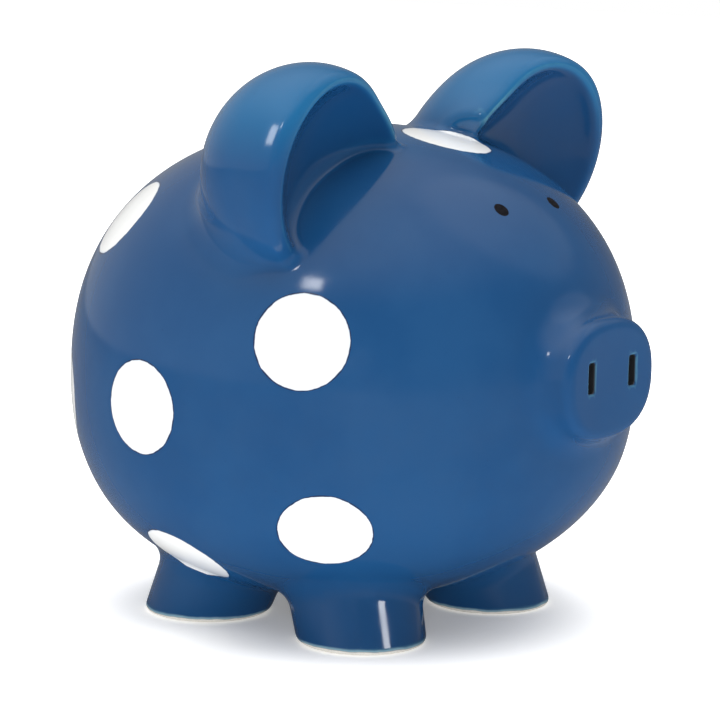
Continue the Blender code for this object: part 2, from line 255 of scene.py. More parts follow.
def body_field(p, grow=0.0):
    """Distance to the superellipsoid of revolution, close to exact near its surface."""
    across = np.hypot(p[:, 0], p[:, 1] - belly_shift(p[:, 2]))
    rise = p[:, 2] - BODY_CENTRE_Z
    reach = np.where(rise > 0.0, BODY_TOP, BODY_BOTTOM) + grow
    radius = BODY_RADIUS + grow
    u = across / radius
    v = np.abs(rise) / reach
    size = (u**BODY_POWER + v**BODY_POWER + 1e-12) ** (1.0 / BODY_POWER)
    slope_u = (u / size) ** (BODY_POWER - 1.0) / radius
    slope_v = (v / size) ** (BODY_POWER - 1.0) / reach
    return (size - 1.0) / np.hypot(slope_u, slope_v)


def behind_rim(q):
    """How far behind the ear's rim plane each point lies."""
    return ((q - BOWL_CENTRE) @ BOWL_MATRIX)[:, 1] - RIM_SETBACK


def ear_frame(p):
    """Points on both sides brought to the left ear, whose front root is drawn across the crown."""
    q = np.column_stack((np.abs(p[:, 0]), p[:, 1:]))
    root = fade(q[:, 0], *ROOT_ACROSS) * fade(q[:, 2], *ROOT_HEIGHTS)
    root *= 1.0 - ROOT_SHIFT_LOST * smoothstep(behind_rim(q), *ROOT_DEPTHS)
    return q + root[:, None] * ROOT_SHIFT


def add_ears(field, p):
    q = ear_frame(p)
    back = behind_rim(q)
    bowl = ellipsoid_field(q, BOWL_CENTRE, BOWL_AXES, BOWL_MATRIX)
    flare = RIM_FLARE * smoothstep(q[:, 0], *FLARE_ACROSS) * fade(back, *FLARE_DEPTHS)
    dome = ellipsoid_field(q - flare[:, None] * (1.0, 0.0, 0.0), EAR_CENTRE, EAR_AXES, EAR_MATRIX)
    ears = smooth_max(smooth_max(dome, -back, RIM_EDGE), -bowl, BOWL_EDGE)
    from_spot = np.linalg.norm(p - on_body(*MIDDLE_SPOTS[0]), axis=1)
    ears = smooth_max(ears, SPOT_RADIUS + EAR_PAST_SPOT - from_spot, RIM_EDGE)
    outer = smoothstep(q[:, 0], *EAR_FILLETS_ACROSS) * smoothstep(back, *EAR_FILLETS_DEPTHS)
    return smooth_min(field, ears, between(EAR_FILLETS, outer))


def in_bowl_pool_and_shade(p):
    """1 on the ears' bowls, where the glaze gathers and painted shade darkens them."""
    bowl = ellipsoid_field(ear_frame(p), BOWL_CENTRE, BOWL_AXES, BOWL_MATRIX)
    return smoothstep(-bowl, -1.2 * MM, 0.0) * smoothstep(body_field(p), 1.0 * MM, 6.0 * MM)


def painted_reflection_on_ears(p):
    """1 on top of the ears, where a painted reflection of the bright room above lightens the glaze."""
    return smoothstep(p[:, 2], *PAINTED_REFLECTION_HEIGHTS) * (1.0 - in_bowl_pool_and_shade(p))


def add_legs(field, p):
    height = np.clip(p[:, 2], 0.0, LEG_TOP)
    away = np.abs(p[:, :2]) - LEG_PLACE + LEG_LEAN * height[:, None]
    wall = np.linalg.norm(away, axis=1) - LEG_RADIUS - LEG_FLARE * height
    legs = smooth_max(smooth_max(wall, -p[:, 2], LEG_FOOT_EDGE), p[:, 2] - LEG_ROOT, MM)
    outer = smoothstep(np.hypot(p[:, 0], p[:, 1]), *LEG_FILLETS_FROM)
    return smooth_min(field, legs, between(LEG_FILLETS, outer))


def add_snout(field, p):
    x = np.abs(p[:, 0]) / SNOUT_HALF[0]
    z = np.abs(p[:, 2] - SNOUT_Z) / SNOUT_HALF[1]
    ring = (x**SNOUT_POWER + z**SNOUT_POWER + 1e-9) ** (1.0 / SNOUT_POWER)
    slope_x = (x / ring) ** (SNOUT_POWER - 1.0) / SNOUT_HALF[0]
    slope_z = (z / ring) ** (SNOUT_POWER - 1.0) / SNOUT_HALF[1]
    side = (ring - 1.0) / np.maximum(np.hypot(slope_x, slope_z), 0.5 / SNOUT_HALF[0])
    dish = SNOUT_DISH * fade(ring, *SNOUT_DISH_REACH)
    snout = smooth_max(side, SNOUT_FACE + dish - p[:, 1], SNOUT_EDGE)
    snout = smooth_max(snout, p[:, 1] - SNOUT_ROOT, MM)
    field = smooth_min(field, snout, SNOUT_FILLET)
    wide = np.abs(np.abs(p[:, 0]) - NOSTRIL_PLACE[0]) - NOSTRIL_HALF[0]
    high = np.abs(p[:, 2] - NOSTRIL_PLACE[1]) - NOSTRIL_HALF[1]
    slots = smooth_max(wide, high, NOSTRIL_CORNER)
    slots = smooth_max(slots, p[:, 1] - SNOUT_FACE - NOSTRIL_DEPTH, NOSTRIL_CORNER)
    return smooth_max(field, -slots, NOSTRIL_MOUTH)


def in_nostril(p):
    """1 inside the nostril slots, below their softened mouths."""
    beside = np.abs(np.abs(p[:, 0]) - NOSTRIL_PLACE[0]) < 1.5 * NOSTRIL_HALF[0]
    level = np.abs(p[:, 2] - NOSTRIL_PLACE[1]) < 1.2 * NOSTRIL_HALF[1]
    below = smoothstep(p[:, 1] - SNOUT_FACE, 0.5 * NOSTRIL_MOUTH, NOSTRIL_MOUTH)
    return beside * level * (p[:, 1] < 0.0) * below


def tail_route(count=72):
    """The points and radii along the curl."""
    along = np.linspace(0.0, 1.0, count)
    angle = np.radians(between(TAIL_ANGLES, along))
    loop = TAIL_LOOP * (1.0 - TAIL_TIGHTENS * along)
    y = between(TAIL_DEPTHS, smoothstep(along, 0.0, 0.3))
    points = np.column_stack((loop * np.cos(angle), y, TAIL_Z + loop * np.sin(angle)))
    return points, between(TAIL_RADII, along**1.5)


def add_tail(field, p):
    points, radii = tail_route()
    tail = np.ones(len(p))
    for a, b, start, end in zip(points, points[1:], radii, radii[1:]):
        t = np.clip((p - a) @ (b - a) / ((b - a) @ (b - a)), 0.0, 1.0)
        gap = np.linalg.norm(p - a - t[:, None] * (b - a), axis=1) - start - (end - start) * t
        tail = np.minimum(tail, gap)
    return smooth_min(field, tail, TAIL_FILLET)


def cut_slot(field, p):
    beyond = np.clip(np.abs(p[:, 1] - SLOT_CENTRE_Y) - (SLOT_LENGTH - SLOT_WIDTH) / 2, 0.0, None)
    slot = np.maximum(np.hypot(p[:, 0], beyond) - SLOT_WIDTH / 2, SLOT_FLOOR - p[:, 2])
    return smooth_max(field, -slot, SLOT_EDGE)


def cut_hole(field, p):
    hole = np.maximum(np.hypot(p[:, 0], p[:, 1]) - HOLE_RADIUS, p[:, 2] - HOLE_TOP)
    return smooth_max(field, -hole, HOLE_EDGE)


# Each part works only inside its own box, in millimetres, which leaves room for its fillet.
PARTS = [
    ((-75, -75, -5), (75, 75, 50), add_legs),
    ((-45, -125, 55), (45, -55, 135), add_snout),
    ((5, -75, 100), (115, 25, 210), add_ears),
    ((-115, -75, 100), (-5, 25, 210), add_ears),
    ((-25, 78, 75), (25, 120, 123), add_tail),
    ((-8, 18, 115), (8, 75, 175), cut_slot),
    ((-24, -24, 0), (24, 24, 45), cut_hole),
]
WHOLE_BOX = ((-103, -112, -3), (103, 112, 201))


def glaze_field(p):
    """The whole glazed outside, negative within the clay."""
    field = smooth_max(body_field(p), SEAT_Z - p[:, 2], SEAT_EDGE)
    for low, high, change in PARTS:
        near = np.all((p > np.array(low) * MM) & (p < np.array(high) * MM), axis=1)
        if near.any():
            field[near] = change(field[near], p[near])
    return field


def unit(vectors):
    return vectors / np.maximum(np.linalg.norm(vectors, axis=1), 1e-9)[:, None]


def gradient(p, field, step=0.02 * MM):
    slope = np.empty_like(p)
    for axis in range(3):
        shift = np.zeros(3)
        shift[axis] = step
        slope[:, axis] = (field(p + shift) - field(p - shift)) / (2.0 * step)
    return slope


def bend(p, field, step=0.5 * MM):
    """The sum of the two curvatures, in 1/mm: positive on an edge, negative in a crease."""
    total = -6.0 * field(p)
    for axis in range(3):
        shift = np.zeros(3)
        shift[axis] = step
        total += field(p + shift) + field(p - shift)
    return total / step**2 * MM


# ---------------------------------------------------------------- meshing

def surface_net(low, high, step, field):
    """Vertices and quads of the field's zero surface inside the box."""
    size = np.ceil((high - low) / step).astype(int) + 1
    axes = [low[a] + step * np.arange(size[a]) for a in range(3)]
    values = np.empty(size)
    for i, x in enumerate(axes[0]):
        y, z = np.meshgrid(axes[1], axes[2], indexing="ij")
        values[i] = field(np.column_stack((np.full(y.size, x), y.ravel(), z.ravel()))).reshape(y.shape)
    inside = values < 0.0
    count = np.zeros(size - 1, np.int8)
    for i in (0, 1):
        for j in (0, 1):
            for k in (0, 1):
                count += inside[i : size[0] - 1 + i, j : size[1] - 1 + j, k : size[2] - 1 + k]
    cells = np.argwhere((count > 0) & (count < 8))
    number = np.full(size, -1, np.int64)
    number[tuple(cells.T)] = np.arange(len(cells))
    way = np.eye(3, dtype=int)
    total = np.zeros((len(cells), 3))
    hits = np.zeros(len(cells))
    quads = []
    for a in range(3):
        b, c = (a + 1) % 3, (a + 2) % 3
        for start in (0 * way[b], way[b], way[c], way[b] + way[c]):
            first = values[tuple((cells + start).T)]
            last = values[tuple((cells + start + way[a]).T)]
            cross = (first < 0.0) != (last < 0.0)
            part = np.where(cross, first / np.where(cross, first - last, 1.0), 0.0)
            total += cross[:, None] * (start + part[:, None] * way[a])
            hits += cross
        here = inside[tuple(slice(0, size[n] - 1) if n == a else slice(None) for n in range(3))]
        beyond = inside[tuple(slice(1, size[n]) if n == a else slice(None) for n in range(3))]
        for crossing, order in ((here & ~beyond, 1), (~here & beyond, -1)):
            edges = np.argwhere(crossing)
            ring = [edges - way[b] - way[c], edges - way[c], edges, edges - way[b]]
            quads.append(np.column_stack([number[tuple(corner.T)] for corner in ring])[:, ::order])
    return low + step * (cells + total / hits[:, None]), np.vstack(quads)


def settle(points, field, reach, rounds=3):
    """Each vertex moved onto the exact surface, by no more than reach a round."""
    for _ in range(rounds):
        slope = gradient(points, field)
        steep = np.maximum((slope**2).sum(1), LEAST_STEEPNESS)
        move = -(field(points) / steep)[:, None] * slope
        length = np.linalg.norm(move, axis=1)[:, None]
        points = points + move * np.minimum(1.0, reach / np.maximum(length, 1e-12))
    return points


def values_of(items, name, kind=np.float64):
    """One value for each of a mesh's items."""
    flat = np.empty(len(items), kind)
    items.foreach_get(name, flat)
    return flat


def rows_of(items, name, width=3, kind=np.float64):
    """One row of values for each of a mesh's items."""
    flat = np.empty(len(items) * width, kind)
    items.foreach_get(name, flat)
    return flat.reshape(-1, width)


def refine(mesh, field, reach):
    """Halves each edge that the surface turns along by more than SHARPEST_TURN, and settles the new points."""
    ends = rows_of(mesh.edges, "vertices", 2, np.int64)
    normals = unit(gradient(rows_of(mesh.vertices, "co"), field))
    turning = (normals[ends[:, 0]] * normals[ends[:, 1]]).sum(1) < math.cos(SHARPEST_TURN)
    bm = bmesh.new()
    bm.from_mesh(mesh)
    bm.edges.ensure_lookup_table()
    old = len(bm.verts)
    halved = [bm.edges[i] for i in np.flatnonzero(turning)]
    bmesh.ops.subdivide_edges(bm, edges=halved, cuts=1, use_grid_fill=True)
    bmesh.ops.triangulate(bm, faces=[face for face in bm.faces if len(face.verts) > 4])
    bm.to_mesh(mesh)
    bm.free()
    points = rows_of(mesh.vertices, "co")
    points[old:] = settle(points[old:], field, reach)
    mesh.vertices.foreach_set("co", points.ravel())
    mesh.update()


def link(obj):
    bpy.context.scene.collection.objects.link(obj)
    return obj


def field_object(name, box, step, field, rounds=0):
    """An object of the field's surface inside the box, in millimetres, refined where it curves most."""
    low, high = (np.array(corner) * MM for corner in box)
    points, quads = surface_net(low, high, step, field)
    mesh = bpy.data.meshes.new(name)
    mesh.from_pydata(settle(points, field, step / 2).tolist(), [], quads.tolist())
    for level in range(rounds):
        refine(mesh, field, step / 2 ** (level + 2))
    return link(bpy.data.objects.new(name, mesh))


def object_from(name, bm):
    bmesh.ops.recalc_face_normals(bm, faces=bm.faces)
    mesh = bpy.data.meshes.new(name)
    bm.to_mesh(mesh)
    bm.free()
    return link(bpy.data.objects.new(name, mesh))


def body_solid(name, grow, steps=160, rings=80):
    """The body's own solid, moved out by grow, as a cutter."""
    rise = np.linspace(-0.5 * math.pi, 0.5 * math.pi, rings + 1)[1:-1]
    turn = np.linspace(0.0, math.tau, steps, endpoint=False)
    reach = np.where(rise > 0.0, BODY_TOP, BODY_BOTTOM) + grow
    radius = (BODY_RADIUS + grow) * np.cos(rise) ** (2.0 / BODY_POWER)
    height = BODY_CENTRE_Z + np.sign(rise) * reach * np.abs(np.sin(rise)) ** (2.0 / BODY_POWER)
    wide = np.outer(radius, np.cos(turn))
    deep = np.outer(radius, np.sin(turn)) + belly_shift(height)[:, None]
    high = np.repeat(height, steps).reshape(-1, steps)
    rows = np.stack((wide, deep, high), axis=-1)
    ends = (BODY_CENTRE_Z - BODY_BOTTOM - grow, BODY_CENTRE_Z + BODY_TOP + grow)
    poles = [(0.0, float(belly_shift(z)), z) for z in ends]
    number = np.arange(rows.size // 3).reshape(-1, steps)
    ahead = np.roll(number, -1, axis=1)
    quads = np.stack((number[:-1], ahead[:-1], ahead[1:], number[1:]), axis=-1).reshape(-1, 4).tolist()
    south, north = number.size, number.size + 1
    quads += [(south, b, a) for a, b in zip(number[0].tolist(), ahead[0].tolist())]
    quads += [(north, a, b) for a, b in zip(number[-1].tolist(), ahead[-1].tolist())]
    mesh = bpy.data.meshes.new(name)
    mesh.from_pydata(rows.reshape(-1, 3).tolist() + poles, [], quads)
    return link(bpy.data.objects.new(name, mesh))


def ellipsoid_solid(name, centre, axes, turn, side=1.0, segments=128):
    bm = bmesh.new()
    matrix = Matrix.Translation(centre) @ Matrix(turn.tolist()).to_4x4() @ Matrix.Diagonal((*axes, 1.0))
    bmesh.ops.create_uvsphere(bm, u_segments=segments, v_segments=segments // 2, radius=1.0, matrix=matrix)
    bmesh.ops.scale(bm, verts=bm.verts, vec=(side, 1.0, 1.0))
    return object_from(name, bm)


def prism_solid(name, centre, radii, depth, turn=Matrix.Identity(4), segments=128):
    """An elliptic cylinder along its own Z."""
    bm = bmesh.new()
    matrix = Matrix.Translation(centre) @ turn @ Matrix.Diagonal((*radii, depth, 1.0))
    bmesh.ops.create_cone(bm, cap_ends=True, segments=segments, radius1=1.0, radius2=1.0, depth=1.0,
                          matrix=matrix)
    return object_from(name, bm)


def closed(mesh):
    """Whether faces meet in pairs at each edge."""
    edges = values_of(mesh.loops, "edge_index", np.int64)
    return not (np.bincount(edges, minlength=len(mesh.edges)) % 2).any()


def combine(name, obj, operation, *others):
    """A new object: obj after one Boolean with each of the others."""
    for other in others:
        modifier = obj.modifiers.new("cut", "BOOLEAN")
        modifier.operation = operation
        modifier.solver = "MANIFOLD"
        modifier.object = other
    for solid in (obj, *others):
        if not closed(solid.data):
            raise RuntimeError(f"{solid.name} isn't closed, so the Boolean would be skipped")
    graph = bpy.context.evaluated_depsgraph_get()
    mesh = bpy.data.meshes.new_from_object(obj.evaluated_get(graph))
    obj.modifiers.clear()
    return link(bpy.data.objects.new(name, mesh))


def join(name, objects):
    bm = bmesh.new()
    for obj in objects:
        bm.from_mesh(obj.data)
    mesh = bpy.data.meshes.new(name)
    bm.to_mesh(mesh)
    bm.free()
    return link(bpy.data.objects.new(name, mesh))


def split(obj, centres):
    """One object for each centre, of the faces nearest to it. Attributes and normals are kept."""
    middles = rows_of(obj.data.polygons, "center")
    places = np.array(list(centres.values()))
    nearest = np.linalg.norm(middles[:, None] - places, axis=2).argmin(axis=1)
    found = {}
    for number, name in enumerate(centres):
        mesh = obj.data.copy()
        bm = bmesh.new()
        bm.from_mesh(mesh)
        bm.faces.ensure_lookup_table()
        others = [bm.faces[i] for i in np.flatnonzero(nearest != number)]
        bmesh.ops.delete(bm, geom=others, context="FACES")
        bm.to_mesh(mesh)
        bm.free()
        found[name] = link(bpy.data.objects.new(name + "_glaze", mesh))
    return found


def discard(objects):
    for obj in objects:
        bpy.data.objects.remove(obj, do_unlink=True)


# ---------------------------------------------------------------- normals and glaze attributes

def cosine(points, field, normals):
    """How far each normal agrees with the field's own at that point."""
    return (unit(gradient(points, field)) * normals).sum(1)


def glaze_attributes(points, field):
    """Where the glaze runs thin or pools, in the bowls with their painted shade, on the ears' tops with their
    painted reflection, and deep in the nostrils.
    """
    curve = bend(points, field)
    thin = smoothstep(curve, *EDGE_BENDS)
    thin *= 1.0 - THIN_LOST_ON_SNOUT * fade(points[:, 1], *SNOUT_FRONT)
    thin *= fade(points[:, 1], *TAIL_BEGINS)
    # The bowl value darkens the ears' bowls with painted shade as well as gathered glaze.
    return {"edge": thin, "pool": smoothstep(-curve, *POOL_BENDS), "bowl": in_bowl_pool_and_shade(points),
            # The ears' tops get a painted reflection of the bright room above.
            "crest": painted_reflection_on_ears(points), "deep": in_nostril(points)}


def finish_surface(obj, field, inner=None):
    """The field's own normals on the outside, flat ones on hidden cuts, and the glaze's attributes."""
    mesh = obj.data
    points = rows_of(mesh.vertices, "co")
    faces = rows_of(mesh.polygons, "normal")
    middles = rows_of(mesh.polygons, "center")
    corners = values_of(mesh.loops, "vertex_index", np.int64)
    owner = np.repeat(np.arange(len(faces)), values_of(mesh.polygons, "loop_total", np.int64))
    outer = (np.abs(field(middles)) < GLAZE_REACH) & (cosine(middles, field, faces) > LEAST_COSINE)
    smooth = unit(gradient(points, field))[corners]
    normals = np.where(outer[owner, None], smooth, faces[owner])
    if inner is not None:
        near = np.abs(inner(middles)) < LINING_REACH
        lining = ~outer & near & (cosine(middles, inner, faces) < -LEAST_COSINE)
        smooth = -unit(gradient(points, inner))[corners]
        normals = np.where(lining[owner, None], smooth, normals)
    mesh.polygons.foreach_set("use_smooth", np.ones(len(faces), bool))
    mesh.normals_split_custom_set(normals.tolist())
    for name, values in glaze_attributes(points, field).items():
        layer = mesh.attributes.new(name, "FLOAT", "POINT")
        layer.data.foreach_set("value", values)
    mesh.update()


# ---------------------------------------------------------------- materials

class Nodes:
    """A node tree, with a short way to add each node. Patterns are in metres where place is."""

    def __init__(self, tree, coordinate):
        self.tree = tree
        self.place = self.node("TexCoord").outputs[coordinate]

    def set(self, socket, value):
        if isinstance(value, bpy.types.NodeSocket):
            self.tree.links.new(value, socket)
        else:
            socket.default_value = value

    def node(self, kind, settings=(), inputs=()):
        made = self.tree.nodes.new("ShaderNode" + kind)
        for key, value in dict(settings).items():
            setattr(made, key, value)
        for key, value in dict(inputs).items():
            self.set(made.inputs[key], value)
        return made

    def noise(self, size, detail=2.0, roughness=0.5):
        """Noise whose blotches are about size across."""
        inputs = {"Vector": self.place, "Scale": 1.0 / size, "Detail": detail, "Roughness": roughness}
        return self.node("TexNoise", inputs=inputs).outputs["Fac"]

    def attribute(self, name):
        return self.node("Attribute", {"attribute_name": name}).outputs["Fac"]

    def height(self):
        return self.node("SeparateXYZ", inputs={"Vector": self.place}).outputs["Z"]

    def distance(self):
        """How far each point is from the piece's origin."""
        return self.node("VectorMath", {"operation": "LENGTH"}, {0: self.place}).outputs["Value"]

    def along(self, way):
        """How far each point lies along a direction."""
        inputs = {0: self.place, 1: tuple(way)}
        return self.node("VectorMath", {"operation": "DOT_PRODUCT"}, inputs).outputs["Value"]

    def maths(self, operation, a, b=0.0):
        return self.node("Math", {"operation": operation}, {0: a, 1: b}).outputs[0]

    def ramp(self, value, low, high, first=0.0, last=1.0):
        inputs = {"Value": value, "From Min": low, "From Max": high, "To Min": first, "To Max": last}
        settings = {"interpolation_type": "SMOOTHSTEP"}
        return self.node("MapRange", settings, inputs).outputs[0]

    def blend(self, part, a, b):
        """Number a turning into number b as part goes from 0 to 1."""
        return self.node("Mix", {"data_type": "FLOAT"}, {0: part, 2: a, 3: b}).outputs[0]

    def mix(self, part, a, b):
        """Colour a turning into colour b as part goes from 0 to 1."""
        inputs = {0: part, 6: self.colour(a), 7: self.colour(b)}
        return self.node("Mix", {"data_type": "RGBA"}, inputs).outputs[2]

    def colour(self, value):
        return (*value, 1.0) if isinstance(value, tuple) else value

    def bump(self, height, depth):
        return self.node("Bump", inputs={"Height": height, "Distance": depth, "Strength": 1.0}).outputs[0]


class Finish(Nodes):
    """A material around one Principled shader, in the piece's own frame."""

    def __init__(self, name, **values):
        self.material = bpy.data.materials.new(name)
        self.material.use_nodes = True
        super().__init__(self.material.node_tree, "Object")
        self.complete(**values)

    def complete(self, **values):
        """The material, after setting or linking these sockets of its shader."""
        shader = self.tree.nodes["Principled BSDF"]
        for socket, value in values.items():
            self.set(shader.inputs[socket.replace("_", " ")], value)
        return self.material


BLUE = (0.0072, 0.0570, 0.1650)
BLUE_THIN = (0.0105, 0.0650, 0.1780)
# The next colour is glaze gathered in creases and, in the ears' bowls, painted shade too.
BLUE_POOLED_AND_SHADED = (0.0045, 0.0400, 0.1250)
# A lighter blue: a painted reflection of the bright room above, on the ears' tops.
BLUE_PAINTED_REFLECTION = (0.0120, 0.1250, 0.2850)
TEAL = (0.1000, 0.2900, 0.3700)
GLAZE_LIP = (0.3000, 0.4800, 0.5600)
SLOT_DARK = (0.0180, 0.0190, 0.0210)
NAVY = (0.0080, 0.0200, 0.0650)
BISQUE = (0.8300, 0.8000, 0.7400)
IRON = (0.2600, 0.1500, 0.0800)
WHITE = (0.8900, 0.8950, 0.8850)
WHITE_THIN = (0.6200, 0.6900, 0.7700)
BLACK = (0.0040, 0.0040, 0.0060)
BLACK_THIN = (0.0100, 0.0090, 0.0120)
RUBBER = (0.0180, 0.0180, 0.0190)
RUBBER_DUSTY = (0.0400, 0.0390, 0.0380)
GLAZE_IOR = 1.5
BLACK_GLAZE_IOR = 1.12
BLUE_SHEEN = (0.09, 0.15)
WHITE_SHEEN = (0.09, 0.14)
BLACK_SHEEN = (0.12, 0.20)
RUBBER_SHEEN = (0.48, 0.66)
BISQUE_ROUGHNESS = 0.72
BISQUE_TOP = 1.5 * MM
RIPPLE_SIZE = 26.0 * MM
RIPPLE_DEPTH = 0.10 * MM


def glaze_ripple(finish, depth=RIPPLE_DEPTH):
    """The glaze's own skin: slow waves from the dip."""
    return finish.bump(finish.noise(RIPPLE_SIZE, detail=1.0), depth)


def blue_colour(finish):
    """Clouded blue, paler on thin edges, with a painted reflection on the ears' tops, deeper where it pools,
    with painted shade in the ears' bowls, and black in the nostrils.
    """
    cloud = finish.ramp(finish.noise(42.0 * MM, 4.0, 0.55), 0.36, 0.66)
    colour = finish.mix(cloud, BLUE, BLUE_THIN)
    # Painted reflection: the ears' tops are lightened as if mirroring the bright room above.
    colour = finish.mix(finish.maths("MULTIPLY", finish.attribute("crest"), 0.9), colour, BLUE_PAINTED_REFLECTION)
    fleck = finish.ramp(finish.noise(1.1 * MM, 3.0, 0.7), 0.66, 0.74, 0.0, 0.28)
    colour = finish.mix(fleck, colour, NAVY)
    # Glaze gathered in creases, and painted shade in the ears' bowls.
    pooled_and_shaded = finish.maths("MULTIPLY", finish.attribute("pool"), 0.5)
    pooled_and_shaded = finish.maths("MAXIMUM", pooled_and_shaded, finish.maths("MULTIPLY", finish.attribute("bowl"), 0.6))
    colour = finish.mix(pooled_and_shaded, colour, BLUE_POOLED_AND_SHADED)
    ragged = finish.ramp(finish.noise(3.2 * MM, 3.0), 0.25, 0.75, 0.6, 1.0)
    colour = finish.mix(finish.maths("MULTIPLY", finish.attribute("edge"), ragged), colour, TEAL)
    return finish.mix(finish.attribute("deep"), colour, SLOT_DARK)


def make_blue_glaze():
    """Blue glaze down to a ragged lip, and toasted bare clay on the foot rings below it."""
    finish = Finish("blue_glaze", IOR=GLAZE_IOR)
    colour = blue_colour(finish)
    wander = finish.ramp(finish.noise(9.0 * MM, 2.0), 0.3, 0.7, -0.25 * MM, 0.25 * MM)
    level = finish.maths("ADD", finish.height(), wander)
    bare = finish.ramp(level, BISQUE_TOP, 0.85 * BISQUE_TOP)
    lip = finish.ramp(level, 1.7 * BISQUE_TOP, 1.1 * BISQUE_TOP, 0.0, 0.8)
    from_line = finish.maths("ABSOLUTE", finish.maths("SUBTRACT", level, 0.95 * BISQUE_TOP))
    toasted = finish.ramp(from_line, 0.0, 0.12 * BISQUE_TOP, 0.45, 0.0)
    colour = finish.mix(lip, colour, GLAZE_LIP)
    grain = finish.ramp(finish.noise(0.7 * MM, 3.0, 0.7), 0.35, 0.7)
    clay = finish.mix(grain, BISQUE, tuple(0.88 * value for value in BISQUE))
    colour = finish.mix(bare, colour, clay)
    colour = finish.mix(toasted, colour, IRON)
    sheen = finish.ramp(finish.noise(9.0 * MM, 3.0), 0.3, 0.7, *BLUE_SHEEN)
    rough = finish.blend(bare, sheen, BISQUE_ROUGHNESS)
    return finish.complete(Base_Color=colour, Roughness=rough, Normal=glaze_ripple(finish))


def make_white_glaze():
    """White glaze that thins out to a dark line at the spot's edge."""
    finish = Finish("white_glaze", IOR=GLAZE_IOR)
    cloud = finish.ramp(finish.noise(14.0 * MM, 3.0), 0.35, 0.7)
    colour = finish.mix(cloud, WHITE, tuple(0.965 * value for value in WHITE))
    wobble = finish.ramp(finish.noise(4.0 * MM, 2.0), 0.3, 0.7, -0.16 * MM, 0.16 * MM)
    reach = finish.maths("ADD", finish.distance(), wobble)
    tint = finish.ramp(reach, SPOT_RADIUS - 1.3 * MM, SPOT_RADIUS - 0.45 * MM, 0.0, 0.8)
    colour = finish.mix(tint, colour, WHITE_THIN)
    line = finish.ramp(reach, SPOT_RADIUS - 0.55 * MM, SPOT_RADIUS - 0.3 * MM)
    colour = finish.mix(line, colour, NAVY)
    sheen = finish.ramp(finish.noise(7.0 * MM, 3.0), 0.3, 0.7, *WHITE_SHEEN)
    return finish.complete(Base_Color=colour, Roughness=sheen, Normal=glaze_ripple(finish))


def make_black_glaze():
    finish = Finish("black_glaze", IOR=BLACK_GLAZE_IOR)
    cloud = finish.ramp(finish.noise(1.5 * MM, 2.0), 0.35, 0.7)
    colour = finish.mix(cloud, BLACK, BLACK_THIN)
    sheen = finish.ramp(finish.noise(1.0 * MM, 2.0), 0.3, 0.7, *BLACK_SHEEN)
    ripple = glaze_ripple(finish, 0.5 * RIPPLE_DEPTH)
    return finish.complete(Base_Color=colour, Roughness=sheen, Normal=ripple)


def make_rubber():
    """Black rubber with a fine grain and a little dust."""
    finish = Finish("stopper_rubber", IOR=1.5)
    dust = finish.ramp(finish.noise(6.0 * MM, 4.0, 0.6), 0.4, 0.75)
    colour = finish.mix(dust, RUBBER, RUBBER_DUSTY)
    rough = finish.ramp(finish.noise(2.0 * MM, 3.0), 0.3, 0.7, *RUBBER_SHEEN)
    skin = finish.bump(finish.noise(0.35 * MM, 2.0), 0.02 * MM)
    return finish.complete(Base_Color=colour, Roughness=rough, Normal=skin)


# ---------------------------------------------------------------- the glazed body

def raised_regions():
    """The cutters that part the legs, snout, ears and tail from the body, with their centres."""
    regions = {}
    for name, x_side, y_side in (("leg_front_left", 1, -1), ("leg_front_right", -1, -1),
                                 ("leg_rear_left", 1, 1), ("leg_rear_right", -1, 1)):
        centre = (x_side * LEG_PLACE[0], y_side * LEG_PLACE[1], LEG_TOP / 2)
        regions[name] = prism_solid(name, centre, (LEG_SEAM, LEG_SEAM), 2.0 * LEG_TOP), centre
    forward = Matrix.Rotation(math.radians(90.0), 4, "X")
    radii = SNOUT_HALF + 2.0 * SEAM_MARGIN
    centre = (0.0, SNOUT_FACE, SNOUT_Z)
    regions["snout"] = prism_solid("snout", centre, tuple(radii), -0.9 * SNOUT_FACE, forward), centre
    centre = (0.0, TAIL_DEPTHS[1], TAIL_Z)
    regions["tail"] = prism_solid("tail", centre, (TAIL_SEAM, TAIL_SEAM), TAIL_DEPTHS[1] / 2, forward), centre
    for name, side in (("ear_left", 1.0), ("ear_right", -1.0)):
        centre = EAR_CENTRE * (side, 1.0, 1.0)
        regions[name] = ellipsoid_solid(name, EAR_CENTRE, EAR_AXES + SEAM_MARGIN, EAR_MATRIX, side), centre
    return regions


def cut_inlays(whole):
    """The spots and eyes, each with its node and slot, and what is left of the bank around them."""
    shallow = body_solid("shallow", -SPOT_DEPTH)
    shell = body_solid("shell", SPOT_DEPTH)
    places = spot_places()
    balls = [ellipsoid_solid(name, centre, (radius,) * 3, np.eye(3)) for name, centre, radius in places]
    inlays = [combine(ball.name, ball, "DIFFERENCE", shallow) for ball in balls]
    blanks = join("blanks", inlays)
    holes = combine("holes", blanks, "INTERSECT", shell)
    spots = combine("spots", whole, "INTERSECT", holes)
    rest = combine("rest", whole, "DIFFERENCE", holes)
    finish_surface(spots, glaze_field)
    found = split(spots, {name: centre for name, centre, radius in places})
    discard([shallow, shell, *balls, *inlays, blanks, holes, spots])
    pieces = []
    for name, centre, radius in places:
        piece = found[name]
        piece.data.transform(Matrix.Translation(-Vector(centre)))
        piece.location = centre
        pieces.append((piece, name, "black_glaze" if radius == EYE_RADIUS else "white_glaze"))
    return pieces, rest


